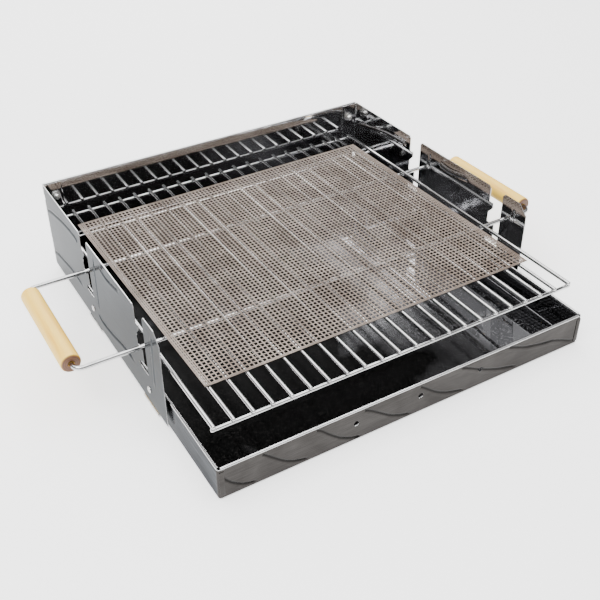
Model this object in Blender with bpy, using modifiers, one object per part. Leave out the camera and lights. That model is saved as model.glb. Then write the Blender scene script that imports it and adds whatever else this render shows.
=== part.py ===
"""Folding camp grill: a low tray, three tall hinged walls, a wire grate hung in
notched slots, wooden grips and a woven mat.  Metres, +Z up; the origin is the
centre of the tray's underside and -Y is the open front."""
import math

import bmesh
import bpy
from mathutils import Matrix, Vector

# Driving dimensions -------------------------------------------------------
TRAY_WIDTH = 0.442
TRAY_DEPTH = 0.4435
TRAY_HEIGHT = 0.0388
SHEET = 0.0008
CORNER_RADIUS = 0.002
HEM_RADIUS = 0.0015
VENT_RADIUS = 0.003
VENT_SPACING = 0.077
VENT_SHIFT = 0.005
VENT_HEIGHT = 0.022

LEAF_CLEARANCE = 0.001
FOOT_CLEARANCE = 0.0013
WALL_SETBACK = 0.104
WALL_CHAMFER = 0.012
FLANGE_WIDTH = 0.022
FLANGE_FOOT = 0.004
FLANGE_CLEARANCE = 0.0005
STUD_INSET = 0.014
STUD_DROP = 0.018
STUD_RADIUS = 0.002
NUT_ACROSS = 0.008
NUT_HEIGHT = 0.0032
WASHER_RADIUS = 0.0055
WASHER_THICKNESS = 0.0008
NOTCH_SLACK = 0.0015

GRATE_SIDE_ROOM = 0.022
GRATE_END_ROOM = 0.024
GRATE_SHIFT = -0.006
GRATE_Y = 0.001
BAR_PITCH = 0.020
BAR_RADIUS = 0.002
FRAME_RADIUS = 0.0022
STUB_LENGTH = 0.004
WELD_DEPTH = 0.0004

ARM_RADIUS = 0.0025
ARM_SPACING = 0.155
BEND_RADIUS = 0.009
GRIP_REACH = 0.077
GRIP_RADIUS = 0.0105
GRIP_END_ROOM = 0.004
GRIP_ROUNDING = 0.0025

FRONT_SLOT_INSET = 0.04975
LOW_SHELF_RISE = 0.0051
LEVEL_SPACING = 0.027
MOUTH_RISE = 0.0205
SHELF_LEAD = 0.0015
ARM_CLEARANCE = 0.001
HOOK_ROOM = 0.002
CHANNEL_ROOM = 0.004
TOOTH_HEIGHT = 0.010
TOOTH_SLOPE = 0.004
MOUTH_CHAMFER = 0.003

MAT_SIDE_ROOM = 0.026
MAT_END_ROOM = 0.0835
MAT_THICKNESS = 0.0012
MAT_X = 0.001
MAT_Y = 0.0085
MAT_TURN = math.radians(0.6)

KNUCKLE_RADIUS = 0.0021
HINGE_PIN_RADIUS = 0.001
PIN_HEAD_RADIUS = 0.0017
HINGE_WIDTH = 0.036
HINGE_SPACING = 0.161
HINGE_LEAD = 0.005
BACK_HINGE_SPACING = 0.250
PIN_HEIGHT = 0.0036
LEAF_TOP = 0.031
WALL_RIVET_HEIGHT = 0.024
TRAY_RIVET_HEIGHT = 0.019
TRAY_RIVET_OFFSET = 0.012
RIVET_RADIUS = 0.0015
RIVET_HEAD_RADIUS = 0.0038
RIVET_HEAD_HEIGHT = 0.0015
RIVET_TAIL_RADIUS = 0.0026
RIVET_TAIL_HEIGHT = 0.0005

GAP = 0.0003
SNUG = 0.0002

# Places worked out from them ----------------------------------------------
HALF_WIDTH = TRAY_WIDTH / 2
HALF_DEPTH = TRAY_DEPTH / 2
PIN_OUT = KNUCKLE_RADIUS + GAP
WALL_GAP = 2 * (SNUG + SHEET) + LEAF_CLEARANCE
WALL_FOOT = PIN_HEIGHT + KNUCKLE_RADIUS + FOOT_CLEARANCE
SHELF_HEIGHT = TRAY_HEIGHT + LOW_SHELF_RISE + LEVEL_SPACING
WALL_TOP = SHELF_HEIGHT + LEVEL_SPACING + MOUTH_RISE
ARM_HEIGHT = SHELF_HEIGHT + GAP + ARM_RADIUS
GRATE_HEIGHT = ARM_HEIGHT + ARM_RADIUS + GAP + BAR_RADIUS
GRATE_WIDTH = TRAY_WIDTH - GRATE_SIDE_ROOM
GRATE_DEPTH = TRAY_DEPTH - GRATE_END_ROOM
MAT_WIDTH = GRATE_WIDTH - MAT_SIDE_ROOM
MAT_DEPTH = GRATE_DEPTH - MAT_END_ROOM
ARM_Y = -HALF_DEPTH + WALL_SETBACK + FRONT_SLOT_INSET + ARM_SPACING / 2
HINGE_Y = ARM_Y - HINGE_LEAD
GRIP_LENGTH = ARM_SPACING - 2 * BEND_RADIUS - GRIP_END_ROOM
ARM_YS = {"front": ARM_Y - ARM_SPACING / 2, "rear": ARM_Y + ARM_SPACING / 2}
GRIP_XS = {
    "left": GRATE_SHIFT - GRATE_WIDTH / 2 - GRIP_REACH,
    "right": GRATE_SHIFT + GRATE_WIDTH / 2 + GRIP_REACH,
}
FLANGE_REAR = HALF_DEPTH + WALL_GAP - FLANGE_CLEARANCE
STUD_HEIGHT = WALL_TOP - STUD_DROP
STUD_X = HALF_WIDTH + WALL_GAP + SHEET - STUD_INSET


# Modelling tools ------------------------------------------------------------
def clear_scene():
    for obj in list(bpy.data.objects):
        bpy.data.objects.remove(obj, do_unlink=True)


def steel(name, colour, roughness):
    return surface(name, colour, roughness, 1.0)


def surface(name, colour, roughness, metallic):
    material = bpy.data.materials.new(name)
    material.use_nodes = True
    shader = material.node_tree.nodes["Principled BSDF"]
    shader.inputs["Base Color"].default_value = (*colour, 1.0)
    shader.inputs["Roughness"].default_value = roughness
    shader.inputs["Metallic"].default_value = metallic
    material.diffuse_color = (*colour, 1.0)
    return material


def add_object(name, mesh):
    obj = bpy.data.objects.new(name, mesh)
    collection.objects.link(obj)
    return obj


def mesh_from(name, build):
    """A mesh made by build(bm), with its faces pointing out."""
    bm = bmesh.new()
    build(bm)
    bmesh.ops.recalc_face_normals(bm, faces=bm.faces)
    mesh = bpy.data.meshes.new(name)
    bm.to_mesh(mesh)
    bm.free()
    return mesh


def box(name, low, high):
    low, high = Vector(low), Vector(high)

    def build(bm):
        bmesh.ops.create_cube(bm, size=1.0)
        bmesh.ops.scale(bm, vec=high - low, verts=bm.verts)
        bmesh.ops.translate(bm, vec=(low + high) / 2, verts=bm.verts)

    return add_object(name, mesh_from(name, build))


def evaluated_mesh(obj):
    graph = bpy.context.evaluated_depsgraph_get()
    return bpy.data.meshes.new_from_object(obj.evaluated_get(graph), depsgraph=graph)


def settle(obj):
    """Replaces an object's mesh by the one its modifiers give."""
    mesh = evaluated_mesh(obj)
    obj.modifiers.clear()
    obj.data = mesh
    return obj


def curve_to_mesh(obj):
    """Turns a curve object into a closed mesh object of the same name."""
    mesh = evaluated_mesh(obj)
    name = obj.name
    matrix = obj.matrix_world.copy()
    bpy.data.objects.remove(obj, do_unlink=True)
    bm = bmesh.new()
    bm.from_mesh(mesh)
    bmesh.ops.remove_doubles(bm, verts=bm.verts, dist=0.00001)
    bmesh.ops.recalc_face_normals(bm, faces=bm.faces)
    bm.to_mesh(mesh)
    bm.free()
    solid = add_object(name, mesh)
    solid.name = name
    solid.matrix_world = matrix
    return solid


def tube(name, points, radius, resolution=2, closed=False):
    """A round wire along a chain of points."""
    curve = bpy.data.curves.new(name, "CURVE")
    curve.dimensions = "3D"
    curve.bevel_depth = radius
    curve.bevel_resolution = resolution
    curve.use_fill_caps = not closed
    spline = curve.splines.new("POLY")
    spline.points.add(len(points) - 1)
    for point, place in zip(spline.points, points):
        point.co = (*place, 1.0)
    spline.use_cyclic_u = closed
    return curve_to_mesh(add_object(name, curve))


def plate(name, outline, thickness):
    """A flat outline in the XY plane, thickened equally to both sides."""
    curve = bpy.data.curves.new(name, "CURVE")
    curve.dimensions = "2D"
    curve.fill_mode = "BOTH"
    curve.extrude = thickness / 2
    spline = curve.splines.new("POLY")
    spline.points.add(len(outline) - 1)
    for point, place in zip(spline.points, outline):
        point.co = (*place, 0.0, 1.0)
    spline.use_cyclic_u = True
    return curve_to_mesh(add_object(name, curve))


def turned(name, profile, segments, closed=False):
    """A profile of (radius, height) points turned about Z; it runs top to bottom."""

    def build(bm):
        verts = [bm.verts.new((r, 0.0, z)) for r, z in profile]
        for first, second in zip(verts, verts[1:]):
            bm.edges.new((first, second))
        if closed:
            bm.edges.new((verts[-1], verts[0]))

    mesh = bpy.data.meshes.new(name)
    bm = bmesh.new()
    build(bm)
    bm.to_mesh(mesh)
    bm.free()
    obj = add_object(name, mesh)
    screw = obj.modifiers.new("Turn", "SCREW")
    screw.axis = "Z"
    screw.steps = segments
    screw.render_steps = segments
    screw.use_merge_vertices = True
    screw.merge_threshold = 0.00001
    settle(obj)
    fix_normals(obj)
    obj.data.shade_smooth()
    obj.data.set_sharp_from_angle(angle=math.radians(35))
    return obj


def fix_normals(obj):
    bm = bmesh.new()
    bm.from_mesh(obj.data)
    bmesh.ops.recalc_face_normals(bm, faces=bm.faces)
    bm.to_mesh(obj.data)
    bm.free()


def place(obj, matrix):
    obj.data.transform(matrix)
    if matrix.determinant() < 0:
        obj.data.flip_normals()
    return obj


def combine(target, tool, operation):
    """A Boolean of two mesh objects; the tool is used up."""
    modifier = target.modifiers.new("Combine", "BOOLEAN")
    modifier.operation = operation
    modifier.solver = "EXACT"
    modifier.object = tool
    settle(target)
    bpy.data.objects.remove(tool, do_unlink=True)
    return target


def cylinder(name, radius, length, segments=16):
    """A cylinder that starts at z = 0 and rises along +Z."""
    profile = [(0.0, length), (radius, length), (radius, 0.0), (0.0, 0.0)]
    return turned(name, profile, segments)


def arc(centre, radius, start, end, steps):
    """Points on an arc in a plane, from one angle to another in degrees."""
    for step in range(steps + 1):
        angle = math.radians(start + (end - start) * step / steps)
        yield (centre[0] + radius * math.cos(angle), centre[1] + radius * math.sin(angle))


def hang_on(obj, pivot, material):
    """Gives a finished solid its material, and its origin on a joint's axis."""
    obj.data.materials.clear()
    obj.data.materials.append(material)
    obj.data.transform(Matrix.Translation(-Vector(pivot.location)))
    obj.parent = pivot
    return obj


def pivot_at(name, location):
    empty = bpy.data.objects.new(name, None)
    empty.empty_display_size = 0.02
    empty.location = location
    collection.objects.link(empty)
    return empty


# Frames for what repeats: local X runs along a wall, Y out of it, Z up ------
def side_frame(side, along):
    """Local frame on the tray's left or right face at a distance along Y."""
    if side == "left":
        return Matrix.Translation((-HALF_WIDTH, along, 0.0)) @ Matrix.Rotation(math.radians(90), 4, "Z")
    return Matrix.Translation((HALF_WIDTH, along, 0.0)) @ Matrix.Rotation(math.radians(-90), 4, "Z")


def back_frame(along):
    """Local frame on the tray's rear face at a distance along X."""
    return Matrix.Translation((along, HALF_DEPTH, 0.0))


# The tray ---------------------------------------------------------------------
def tray_rivet_places():
    places = []
    for hinge in hinge_list():
        offset = Matrix.Translation((TRAY_RIVET_OFFSET, 0.0, TRAY_RIVET_HEIGHT))
        places.append((hinge["name"], hinge["frame"] @ offset))
    return places


def rounded_block(name, half_x, half_y, low, high, radius):
    corners = [(1, 1, 0), (-1, 1, 90), (-1, -1, 180), (1, -1, 270)]
    outline = []
    for sign_x, sign_y, start in corners:
        centre = (sign_x * (half_x - radius), sign_y * (half_y - radius))
        outline.extend(arc(centre, radius, start, start + 90, 3))
    block = plate(name, outline, high - low)
    return place(block, Matrix.Translation((0.0, 0.0, (low + high) / 2)))


def make_tray():
    tray = rounded_block("firebox_tray", HALF_WIDTH, HALF_DEPTH, 0.0, TRAY_HEIGHT - HEM_RADIUS, CORNER_RADIUS)
    hollow = rounded_block(
        "hollow", HALF_WIDTH - SHEET, HALF_DEPTH - SHEET, SHEET, TRAY_HEIGHT + SHEET, CORNER_RADIUS - SHEET
    )
    combine(tray, hollow, "DIFFERENCE")
    inset = HEM_RADIUS
    x, y, z = HALF_WIDTH - inset, HALF_DEPTH - inset, TRAY_HEIGHT - HEM_RADIUS
    rim = tube("rim", [(x, y, z), (-x, y, z), (-x, -y, z), (x, -y, z)], HEM_RADIUS, closed=True)
    combine(tray, rim, "UNION")
    for step in (-1, 0, 1):
        vent = cylinder("vent", VENT_RADIUS, 4 * CORNER_RADIUS)
        turn = Matrix.Rotation(math.radians(90), 4, "X")
        along = VENT_SHIFT + step * VENT_SPACING
        start = Matrix.Translation((along, -HALF_DEPTH + 2 * CORNER_RADIUS, VENT_HEIGHT))
        combine(tray, place(vent, start @ turn), "DIFFERENCE")
    for _, frame in tray_rivet_places():
        hole = cylinder("hole", RIVET_RADIUS + GAP, 4 * SHEET)
        turn = Matrix.Rotation(math.radians(-90), 4, "X")
        inside = Matrix.Translation((0.0, -2 * SHEET, 0.0))
        combine(tray, place(hole, frame @ inside @ turn), "DIFFERENCE")
    return tray


# Hinges -------------------------------------------------------------------------
def hinge_list():
    hinges = []
    for side in ("left", "right"):
        for name, sign in (("front", -1), ("rear", 1)):
            along = HINGE_Y + sign * HINGE_SPACING / 2
            hinges.append({"name": f"{side}_{name}", "wall": side, "frame": side_frame(side, along)})
    for name, sign in (("left", -1), ("right", 1)):
        hinges.append(
            {"name": f"back_{name}", "wall": "back", "frame": back_frame(sign * BACK_HINGE_SPACING / 2)}
        )
    return hinges


def knuckle(name, start, length):
    """One bored barrel of a hinge along local X."""
    inner = HINGE_PIN_RADIUS + GAP
    ring = [(KNUCKLE_RADIUS, length), (KNUCKLE_RADIUS, 0.0), (inner, 0.0), (inner, length)]
    barrel = turned(name, ring, 16, closed=True)
    turn = Matrix.Rotation(math.radians(90), 4, "Y")
    return place(barrel, Matrix.Translation((start, PIN_OUT, PIN_HEIGHT)) @ turn)


def leaf(name, frame, near, far, spans, foot, rivet_x, rivet_z):
    """A hinge leaf between local Y near and far, with a knuckle on each span."""
    half = HINGE_WIDTH / 2
    body = box(name, (-half, near, PIN_HEIGHT + KNUCKLE_RADIUS + 2 * GAP), (half, far, LEAF_TOP))
    for start, end in spans:
        top = PIN_HEIGHT + KNUCKLE_RADIUS + 4 * GAP
        combine(body, box("tab", (start, near, foot), (end, far, top)), "UNION")
        combine(body, knuckle("barrel", start, end - start), "UNION")
    hole = cylinder("hole", RIVET_RADIUS + GAP, 4 * SHEET)
    turn = Matrix.Rotation(math.radians(-90), 4, "X")
    start = Matrix.Translation((rivet_x, near - SHEET, rivet_z))
    combine(body, place(hole, start @ turn), "DIFFERENCE")
    return place(body, frame)


def make_fixed_leaf(hinge):
    third = HINGE_WIDTH / 6
    half = HINGE_WIDTH / 2
    spans = [(-half, -third - GAP), (third + GAP, half)]
    return leaf(
        f"{hinge['name']}_hinge_fixed_leaf", hinge["frame"], SNUG, SNUG + SHEET, spans,
        PIN_HEIGHT, TRAY_RIVET_OFFSET, TRAY_RIVET_HEIGHT,
    )


def make_moving_leaf(hinge):
    third = HINGE_WIDTH / 6
    far = WALL_GAP - SNUG
    foot = PIN_HEIGHT + HINGE_PIN_RADIUS + 2 * GAP
    return leaf(
        f"{hinge['name']}_hinge_moving_leaf", hinge["frame"], far - SHEET, far, [(-third, third)],
        foot, 0.0, WALL_RIVET_HEIGHT,
    )


def make_hinge_pin(hinge):
    length = HINGE_WIDTH + 2 * GAP
    profile = [
        (0.0, length), (HINGE_PIN_RADIUS, length), (HINGE_PIN_RADIUS, 0.0),
        (PIN_HEAD_RADIUS, 0.0), (PIN_HEAD_RADIUS, -SHEET), (0.0, -SHEET),
    ]
    pin = turned(f"{hinge['name']}_hinge_pin", profile, 12)
    turn = Matrix.Rotation(math.radians(90), 4, "Y")
    start = Matrix.Translation((-HINGE_WIDTH / 2 - GAP, PIN_OUT, PIN_HEIGHT))
    return place(pin, hinge["frame"] @ start @ turn)


def rivet(name, grip):
    """A rivet along +Z: its domed head sits on z = 0 and its tail at z = -grip."""
    dome = []
    for degrees in (0, 30, 60, 90):
        angle = math.radians(degrees)
        dome.append((RIVET_HEAD_RADIUS * math.sin(angle), GAP / 2 + RIVET_HEAD_HEIGHT * math.cos(angle)))
    tail = -grip - GAP / 2
    profile = dome + [
        (RIVET_RADIUS, GAP / 2), (RIVET_RADIUS, tail), (RIVET_TAIL_RADIUS, tail),
        (RIVET_TAIL_RADIUS, tail - RIVET_TAIL_HEIGHT), (0.0, tail - RIVET_TAIL_HEIGHT),
    ]
    return turned(name, profile, 16)


def make_wall_rivet(hinge):
    """Holds the moving leaf to the tall wall; its head shows outside."""
    piece = rivet(f"{hinge['name']}_wall_rivet", 2 * SHEET + SNUG)
    turn = Matrix.Rotation(math.radians(-90), 4, "X")
    start = Matrix.Translation((0.0, WALL_GAP + SHEET, WALL_RIVET_HEIGHT))
    return place(piece, hinge["frame"] @ start @ turn)


def make_tray_rivet(name, frame):
    """Holds the fixed leaf to the tray; its head is inside."""
    piece = rivet(f"{name}_tray_rivet", 2 * SHEET + SNUG)
    turn = Matrix.Rotation(math.radians(90), 4, "X")
    return place(piece, frame @ Matrix.Translation((0.0, -SHEET, 0.0)) @ turn)


# Tall walls -----------------------------------------------------------------------
def slot_outline(arm_y):
    """The rear edge, floor and front edge of one notched slot, going down and up again."""
    shelf_front = arm_y - SHELF_LEAD
    front = shelf_front - 2 * ARM_RADIUS - CHANNEL_ROOM
    tooth = arm_y + ARM_RADIUS + ARM_CLEARANCE
    rear = tooth + 2 * ARM_RADIUS + HOOK_ROOM
    high_shelf = SHELF_HEIGHT + LEVEL_SPACING
    low_shelf = SHELF_HEIGHT - LEVEL_SPACING
    points = [(rear + MOUTH_CHAMFER, WALL_TOP), (rear, WALL_TOP - MOUTH_CHAMFER)]
    points += [(rear, high_shelf), (tooth, high_shelf)]
    points += [(tooth, high_shelf - TOOTH_HEIGHT + TOOTH_SLOPE)]
    points += [(rear, high_shelf - TOOTH_HEIGHT - TOOTH_SLOPE)]
    points += [(rear, SHELF_HEIGHT), (shelf_front, SHELF_HEIGHT)]
    points += [(shelf_front, low_shelf + TOOTH_HEIGHT), (rear, low_shelf + TOOTH_HEIGHT - TOOTH_SLOPE)]
    points += [(rear, low_shelf), (front, low_shelf)]
    points += [(front, WALL_TOP - MOUTH_CHAMFER), (front - MOUTH_CHAMFER, WALL_TOP)]
    return points


def side_wall_outline():
    front = -HALF_DEPTH + WALL_SETBACK
    rear = FLANGE_REAR
    outline = [(rear, WALL_FOOT), (rear, WALL_TOP)]
    outline += slot_outline(ARM_YS["rear"])
    outline += slot_outline(ARM_YS["front"])
    outline += [(front + WALL_CHAMFER, WALL_TOP), (front, WALL_TOP - WALL_CHAMFER), (front, WALL_FOOT)]
    return outline


def make_side_wall(side):
    wall = plate(f"{side}_wall", side_wall_outline(), SHEET)
    upright = Matrix(((0, 0, 1, 0), (1, 0, 0, 0), (0, 1, 0, 0), (0, 0, 0, 1)))
    middle = HALF_WIDTH + WALL_GAP + SHEET / 2
    place(wall, Matrix.Translation((middle, 0.0, 0.0)) @ upright)
    foot = TRAY_HEIGHT + FLANGE_FOOT
    inner = HALF_WIDTH + WALL_GAP - FLANGE_WIDTH
    flange = box(
        "flange", (inner, FLANGE_REAR - SHEET, foot), (middle, FLANGE_REAR, WALL_TOP - 2 * SHEET)
    )
    combine(wall, flange, "UNION")
    hole = cylinder("hole", STUD_RADIUS + GAP, 4 * SHEET)
    turn = Matrix.Rotation(math.radians(90), 4, "X")
    stud_place = Matrix.Translation((STUD_X, FLANGE_REAR + SHEET, STUD_HEIGHT))
    combine(wall, place(hole, stud_place @ turn), "DIFFERENCE")
    for sign in (-1, 1):
        along = HINGE_Y + sign * HINGE_SPACING / 2
        hole = cylinder("hole", RIVET_RADIUS + GAP, 4 * SHEET)
        turn = Matrix.Rotation(math.radians(90), 4, "Y")
        start = Matrix.Translation((HALF_WIDTH + WALL_GAP - SHEET, along, WALL_RIVET_HEIGHT))
        combine(wall, place(hole, start @ turn), "DIFFERENCE")
    if side == "left":
        place(wall, Matrix.Scale(-1, 4, (1, 0, 0)))
    return wall


def stud_notch(sign, edge, near):
    """The open notch in the back wall's side edge that hooks on a corner stud."""
    reach = STUD_RADIUS + NOTCH_SLACK
    ends = sorted((sign * (STUD_X - reach), sign * (edge + SHEET)))
    low = (ends[0], near - SHEET, STUD_HEIGHT - reach)
    return box("notch", low, (ends[1], near + 2 * SHEET, STUD_HEIGHT + reach))


def make_back_wall():
    half = HALF_WIDTH + WALL_GAP + SHEET
    near = HALF_DEPTH + WALL_GAP
    height = WALL_TOP - HEM_RADIUS
    wall = box("back_wall", (-half, near, WALL_FOOT), (half, near + SHEET, height + GAP))
    hem_y = near + HEM_RADIUS - SNUG / 2
    hem_end = half - SNUG
    hem = tube("hem", [(-hem_end, hem_y, height), (hem_end, hem_y, height)], HEM_RADIUS)
    combine(wall, hem, "UNION")
    for sign in (-1, 1):
        combine(wall, stud_notch(sign, half, near), "DIFFERENCE")
        hole = cylinder("hole", RIVET_RADIUS + GAP, 4 * SHEET)
        turn = Matrix.Rotation(math.radians(-90), 4, "X")
        start = Matrix.Translation((sign * BACK_HINGE_SPACING / 2, near - SHEET, WALL_RIVET_HEIGHT))
        combine(wall, place(hole, start @ turn), "DIFFERENCE")
    return wall


# Corner studs ------------------------------------------------------------------------
def stud_frame(side):
    """Local +Z points forwards, out of the side wall's rear flange."""
    sign = -1 if side == "left" else 1
    turn = Matrix.Rotation(math.radians(90), 4, "X")
    return Matrix.Translation((sign * STUD_X, FLANGE_REAR - SHEET, STUD_HEIGHT)) @ turn


def make_stud(side):
    rear = -(2 * SHEET + FLANGE_CLEARANCE + 2 * SHEET)
    front = WASHER_THICKNESS + 2 * GAP + NUT_HEIGHT
    stud = cylinder(f"{side}_corner_stud", STUD_RADIUS, front - rear)
    return place(stud, stud_frame(side) @ Matrix.Translation((0.0, 0.0, rear)))


def make_washer(side):
    inner = STUD_RADIUS + GAP
    top = GAP + WASHER_THICKNESS
    ring = [(WASHER_RADIUS, top), (WASHER_RADIUS, GAP), (inner, GAP), (inner, top)]
    return place(turned(f"{side}_corner_washer", ring, 24, closed=True), stud_frame(side))


def make_cap_nut(side):
    """A hexagon with a domed cap and a blind bore from behind."""
    base = 2 * GAP + WASHER_THICKNESS
    top = base + NUT_HEIGHT
    corner = NUT_ACROSS / math.sqrt(3)
    hexagon = cylinder(f"{side}_corner_cap_nut", corner, NUT_HEIGHT, segments=6)
    place(hexagon, Matrix.Translation((0.0, 0.0, base)))
    dome_radius = NUT_ACROSS / 2 - GAP
    steps = (0, 22, 45, 67, 90)
    profile = [
        (dome_radius * math.sin(math.radians(a)), top + dome_radius * math.cos(math.radians(a)) * 0.8)
        for a in steps
    ]
    profile += [(dome_radius, top - SHEET), (0.0, top - SHEET)]
    combine(hexagon, turned("dome", profile, 16), "UNION")
    bore = cylinder("bore", STUD_RADIUS + GAP, NUT_HEIGHT + 2 * GAP)
    combine(hexagon, place(bore, Matrix.Translation((0.0, 0.0, base - GAP))), "DIFFERENCE")
    return place(hexagon, stud_frame(side))


# Grate ----------------------------------------------------------------------------------
def make_grate():
    front = GRATE_Y - GRATE_DEPTH / 2
    rear = GRATE_Y + GRATE_DEPTH / 2
    left = GRATE_SHIFT - GRATE_WIDTH / 2
    right = GRATE_SHIFT + GRATE_WIDTH / 2
    under = GRATE_HEIGHT - 2 * BAR_RADIUS + WELD_DEPTH
    ends = FRAME_RADIUS + GAP
    grate = tube("grate_grid", [(left - ends, front, under), (right + ends, front, under)], BAR_RADIUS)
    rail = tube("rail", [(left - ends, rear, under), (right + ends, rear, under)], BAR_RADIUS)
    spaces = round(GRATE_WIDTH / BAR_PITCH)
    for index in range(spaces + 1):
        x = left + index * GRATE_WIDTH / spaces
        outer = index in (0, spaces)
        radius = FRAME_RADIUS if outer else BAR_RADIUS
        tip = rear + (BAR_RADIUS if outer else STUB_LENGTH)
        bar = tube("bar", [(x, front - BAR_RADIUS - GAP, GRATE_HEIGHT), (x, tip, GRATE_HEIGHT)], radius)
        combine(grate, bar, "UNION")
    return combine(grate, rail, "UNION")


def make_handle_loop(side):
    """One bent wire: both arms run under the bars to the middle of the grate."""
    sign = -1 if side == "left" else 1
    grip_x = GRIP_XS[side]
    start = GRATE_SHIFT + sign * GAP
    bend_x = grip_x - sign * BEND_RADIUS
    front, rear = ARM_YS["front"], ARM_YS["rear"]
    path = [(start, front)]
    for x, y in arc((bend_x, front + BEND_RADIUS), BEND_RADIUS, -90, 0, 6):
        path.append((bend_x + sign * (x - bend_x), y))
    for x, y in arc((bend_x, rear - BEND_RADIUS), BEND_RADIUS, 0, 90, 6):
        path.append((bend_x + sign * (x - bend_x), y))
    path.append((start, rear))
    return tube(f"{side}_handle_loop", [(x, y, ARM_HEIGHT) for x, y in path], ARM_RADIUS)


def make_grip(side):
    """A turned wooden grip with a bore for the wire, along Y."""
    half = GRIP_LENGTH / 2
    bore = ARM_RADIUS + GAP + SNUG
    shoulder = [
        (GRIP_RADIUS - GRIP_ROUNDING + r, half - GRIP_ROUNDING + z)
        for r, z in arc((0.0, 0.0), GRIP_ROUNDING, 90, 0, 4)
    ]
    profile = shoulder + [(r, -z) for r, z in reversed(shoulder)] + [(bore, -half), (bore, half)]
    grip = turned(f"{side}_grip", profile, 28, closed=True)
    turn = Matrix.Rotation(math.radians(-90), 4, "X")
    return place(grip, Matrix.Translation((GRIP_XS[side], ARM_Y, ARM_HEIGHT)) @ turn)


def make_mat():
    half = Vector((MAT_WIDTH / 2, MAT_DEPTH / 2, 0.0))
    low = GRATE_HEIGHT + FRAME_RADIUS + GAP
    mat = box("mesh_mat", -half + Vector((0.0, 0.0, low)), half + Vector((0.0, 0.0, low + MAT_THICKNESS)))
    turn = Matrix.Rotation(MAT_TURN, 4, "Z")
    return place(mat, Matrix.Translation((GRATE_SHIFT + MAT_X, MAT_Y, 0.0)) @ turn)


# Assembly ----------------------------------------------------------------------------------
clear_scene()
collection = bpy.data.collections.new("folding_camp_grill")
bpy.context.scene.collection.children.link(collection)

dark_steel = steel("tray_steel", (0.30, 0.28, 0.27), 0.30)
wall_steel = steel("wall_steel", (0.62, 0.64, 0.66), 0.18)
wire_steel = steel("wire_chrome", (0.85, 0.85, 0.84), 0.15)
small_steel = steel("fastener_steel", (0.70, 0.70, 0.70), 0.25)
beech = surface("beech", (0.88, 0.62, 0.32), 0.50, 0.0)
glass_cloth = surface("mat_weave", (0.42, 0.33, 0.24), 0.55, 0.0)

root = pivot_at("grill_base", (0.0, 0.0, 0.0))
pivots = {
    "left": pivot_at("left_wall_pivot", (-HALF_WIDTH - PIN_OUT, 0.0, PIN_HEIGHT)),
    "right": pivot_at("right_wall_pivot", (HALF_WIDTH + PIN_OUT, 0.0, PIN_HEIGHT)),
    "back": pivot_at("back_wall_pivot", (0.0, HALF_DEPTH + PIN_OUT, PIN_HEIGHT)),
    "grate": pivot_at("grate_carrier", (GRATE_SHIFT, GRATE_Y, ARM_HEIGHT)),
}

hang_on(make_tray(), root, dark_steel)
for hinge in hinge_list():
    hang_on(make_fixed_leaf(hinge), root, small_steel)
    hang_on(make_hinge_pin(hinge), root, small_steel)
    hang_on(make_moving_leaf(hinge), pivots[hinge["wall"]], small_steel)
    hang_on(make_wall_rivet(hinge), pivots[hinge["wall"]], small_steel)
for hinge_name, hinge_place in tray_rivet_places():
    hang_on(make_tray_rivet(hinge_name, hinge_place), root, small_steel)

hang_on(make_back_wall(), pivots["back"], wall_steel)
hang_on(make_grate(), pivots["grate"], wire_steel)
for side in ("left", "right"):
    hang_on(make_side_wall(side), pivots[side], wall_steel)
    hang_on(make_stud(side), pivots[side], small_steel)
    hang_on(make_washer(side), pivots[side], small_steel)
    hang_on(make_cap_nut(side), pivots[side], small_steel)
    hang_on(make_handle_loop(side), pivots["grate"], wire_steel)
    grip_pivot = pivot_at(f"{side}_grip_pivot", (GRIP_XS[side], ARM_Y, ARM_HEIGHT))
    hang_on(make_grip(side), grip_pivot, beech)
hang_on(make_mat(), pivot_at("mat_carrier", (GRATE_SHIFT + MAT_X, MAT_Y, GRATE_HEIGHT)), glass_cloth)
bpy.context.view_layer.update()
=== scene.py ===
# %% [markdown]
# # A folding camp grill
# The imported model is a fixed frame: it says where every part is and how it moves. The cells below
# dress it. Sheet metal gets its embossed lines and rolled edges, wire gets round ends and welds,
# the grips are turned from beech, and the mat is woven strand by strand.

# %% Load the fixed frame
import math

import bmesh
import bpy
import numpy as np
from mathutils import Matrix, Vector


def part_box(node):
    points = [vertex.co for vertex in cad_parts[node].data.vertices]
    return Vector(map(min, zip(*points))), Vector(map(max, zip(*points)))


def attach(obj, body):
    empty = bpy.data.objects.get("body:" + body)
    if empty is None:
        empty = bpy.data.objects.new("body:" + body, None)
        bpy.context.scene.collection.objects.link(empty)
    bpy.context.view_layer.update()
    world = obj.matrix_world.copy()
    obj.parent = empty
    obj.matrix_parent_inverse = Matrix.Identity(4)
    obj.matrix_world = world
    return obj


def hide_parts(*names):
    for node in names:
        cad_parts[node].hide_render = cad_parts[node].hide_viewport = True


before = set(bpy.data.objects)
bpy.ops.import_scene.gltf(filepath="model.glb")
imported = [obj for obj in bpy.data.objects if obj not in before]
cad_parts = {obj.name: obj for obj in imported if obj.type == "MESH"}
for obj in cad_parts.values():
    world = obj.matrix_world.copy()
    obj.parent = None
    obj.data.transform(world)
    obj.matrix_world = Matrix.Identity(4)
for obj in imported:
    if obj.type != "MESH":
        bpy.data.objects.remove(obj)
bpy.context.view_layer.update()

# %% [markdown]
# ## The camera first
# A camera is a place, a direction and a lens. The matrix is built from the direction that points
# back out of the scene, so the lens looks the other way, and a small roll levels the horizon.

# %% Camera
CAMERA_PLACE = (-0.4429, -0.7364, 0.6329)
AZIMUTH, ELEVATION, ROLL = -29.008, 34.499, -1.326
LENS = 53.95
SHIFT_X, SHIFT_Y = 0.0413, -0.0450


def add_object(name, data):
    made = bpy.data.objects.new(name, data)
    bpy.context.scene.collection.objects.link(made)
    return made


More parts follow.
